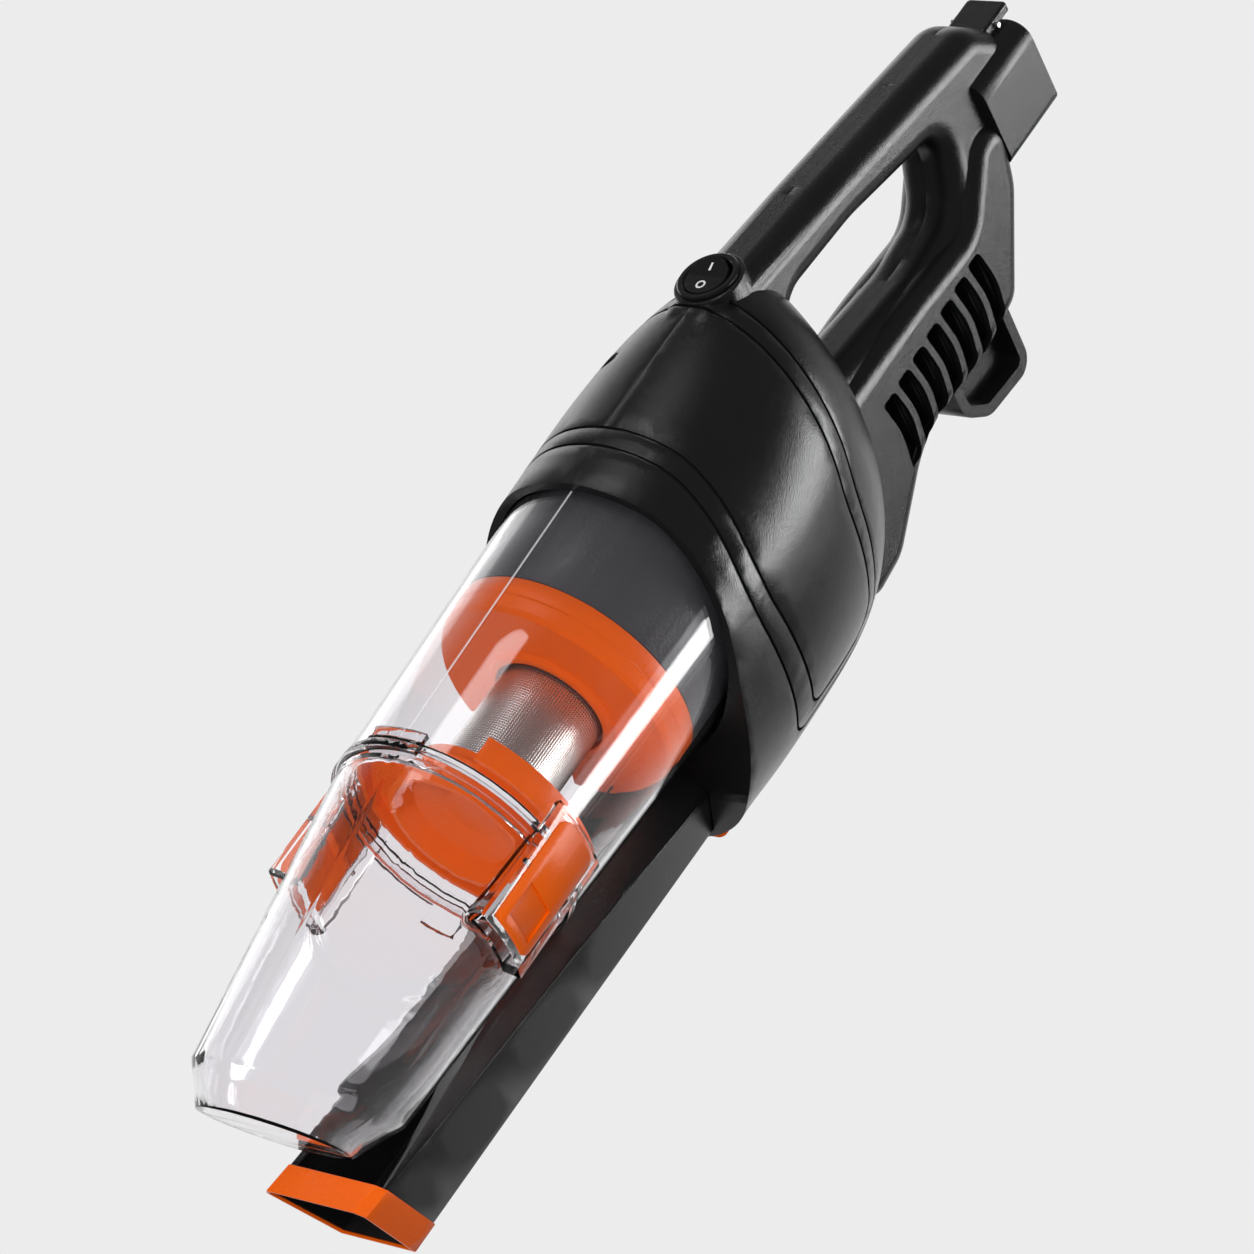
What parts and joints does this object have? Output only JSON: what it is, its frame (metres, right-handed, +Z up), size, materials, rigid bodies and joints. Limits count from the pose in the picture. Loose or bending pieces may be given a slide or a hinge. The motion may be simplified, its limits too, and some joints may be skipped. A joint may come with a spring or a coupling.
{
  "type": "handheld vacuum cleaner",
  "caption": "Handheld cyclone vacuum with a D-shaped grip, ribbed motor housing, clear two-part dust cup held by side clips, steel mesh filter and a slanted nozzle under the cup",
  "frame": {"origin": "bottom centre of the bounding box; the vacuum lies along X as it would on a table", "axes": "+X forward along the dust cup, from the grip to the nozzle; +Y to the object's left; +Z up through the switch"},
  "size_m": [0.523, 0.1084, 0.1554],
  "materials": {
    "black_plastic": "fine spark-eroded grain",
    "black_gloss": "polished",
    "orange_plastic": "satin gloss",
    "clear_plastic": "clear moulded polycarbonate",
    "white_ink": "flat",
    "steel": "bright",
    "steel_mesh": "fine woven mesh",
    "copper": "satin",
    "carbon": "dull",
    "soft_rubber": "soft",
    "filter_sponge": "open foam",
    "laminated_steel": "varnished laminations",
    "grey_plastic": "moulded"
  },
  "bodies": {
    "motor_body": {"body_shell_left": "black_plastic", "body_shell_right": "black_plastic", "cord_hook": "black_plastic", "cord_gland": "soft_rubber", "socket_liner": "black_plastic", "body_screws": "steel", "vent_baffle": "black_gloss", "switch_bezel": "black_gloss", "switch_terminals": "copper", "latch_pin": "steel", "motor_can": "steel", "rear_bearing": "steel", "front_bearing": "steel", "stator": "laminated_steel", "carbon_brushes": "carbon", "fan_shroud": "steel", "motor_mount_front": "soft_rubber", "motor_mount_rear": "soft_rubber", "inlet_grille": "grey_plastic"},
    "rotor": {"armature": "laminated_steel", "commutator": "copper", "motor_shaft": "steel", "impeller": "steel"},
    "rocker_switch": {"rocker": "black_gloss", "rocker_marks": "white_ink"},
    "latch": {"tube_latch": "black_plastic"},
    "button": {"release_button": "orange_plastic"},
    "dust_unit": {"rear_shell": "clear_plastic", "joint_ring": "clear_plastic", "nozzle_duct": "black_plastic", "nozzle_rim": "orange_plastic", "mouth_liner": "black_plastic", "inlet_collar": "clear_plastic", "filter_housing": "grey_plastic", "filter_pad": "filter_sponge", "separator": "orange_plastic", "filter_mesh": "steel_mesh", "dust_dish": "orange_plastic"},
    "dust_cup": {"front_cup": "clear_plastic", "clip_pin_left": "steel", "clip_pin_right": "steel"},
    "left_clip": {"clip_left": "orange_plastic"},
    "right_clip": {"clip_right": "orange_plastic"}
  },
  "joints": [
    {"name": "motor_spin", "type": "hinge", "parent": "motor_body", "child": "rotor", "pos_m": [-0.04294, 0, 0.0946], "axis": [1, 0, 0], "continuous": true},
    {"name": "switch_rock", "type": "hinge", "parent": "motor_body", "child": "rocker_switch", "pos_m": [-0.08044, 0, 0.1487], "axis": [0, 1, 0], "range_deg": [-14, 0]},
    {"name": "tube_latch_press", "type": "hinge", "parent": "motor_body", "child": "latch", "pos_m": [-0.25094, 0, 0.121], "axis": [0, -1, 0], "range_deg": [0, 8], "stiffness_Nm_per_rad": 0.15, "springref_deg": -4.58},
    {"name": "cup_release", "type": "slide", "parent": "motor_body", "child": "button", "axis": [0, 0, 1], "range_m": [0, 0.0025], "stiffness_N_per_m": 400, "springref_m": -0.002},
    {"name": "dust_unit_slide", "type": "slide", "parent": "motor_body", "child": "dust_unit", "axis": [1, 0, 0], "range_m": [0, 0.06]},
    {"name": "dust_cup_slide", "type": "slide", "parent": "dust_unit", "child": "dust_cup", "axis": [0.9962, 0, 0.0872], "range_m": [0, 0.055]},
    {"name": "left_clip_press", "type": "hinge", "parent": "dust_cup", "child": "left_clip", "pos_m": [0.14406, 0.0463, 0.0946], "axis": [0, 0, 1], "range_deg": [-6, 0], "stiffness_Nm_per_rad": 0.2, "springref_deg": 3.44},
    {"name": "right_clip_press", "type": "hinge", "parent": "dust_cup", "child": "right_clip", "pos_m": [0.14406, -0.0463, 0.0946], "axis": [0, 0, -1], "range_deg": [-6, 0], "stiffness_Nm_per_rad": 0.2, "springref_deg": 3.44}
  ]
}
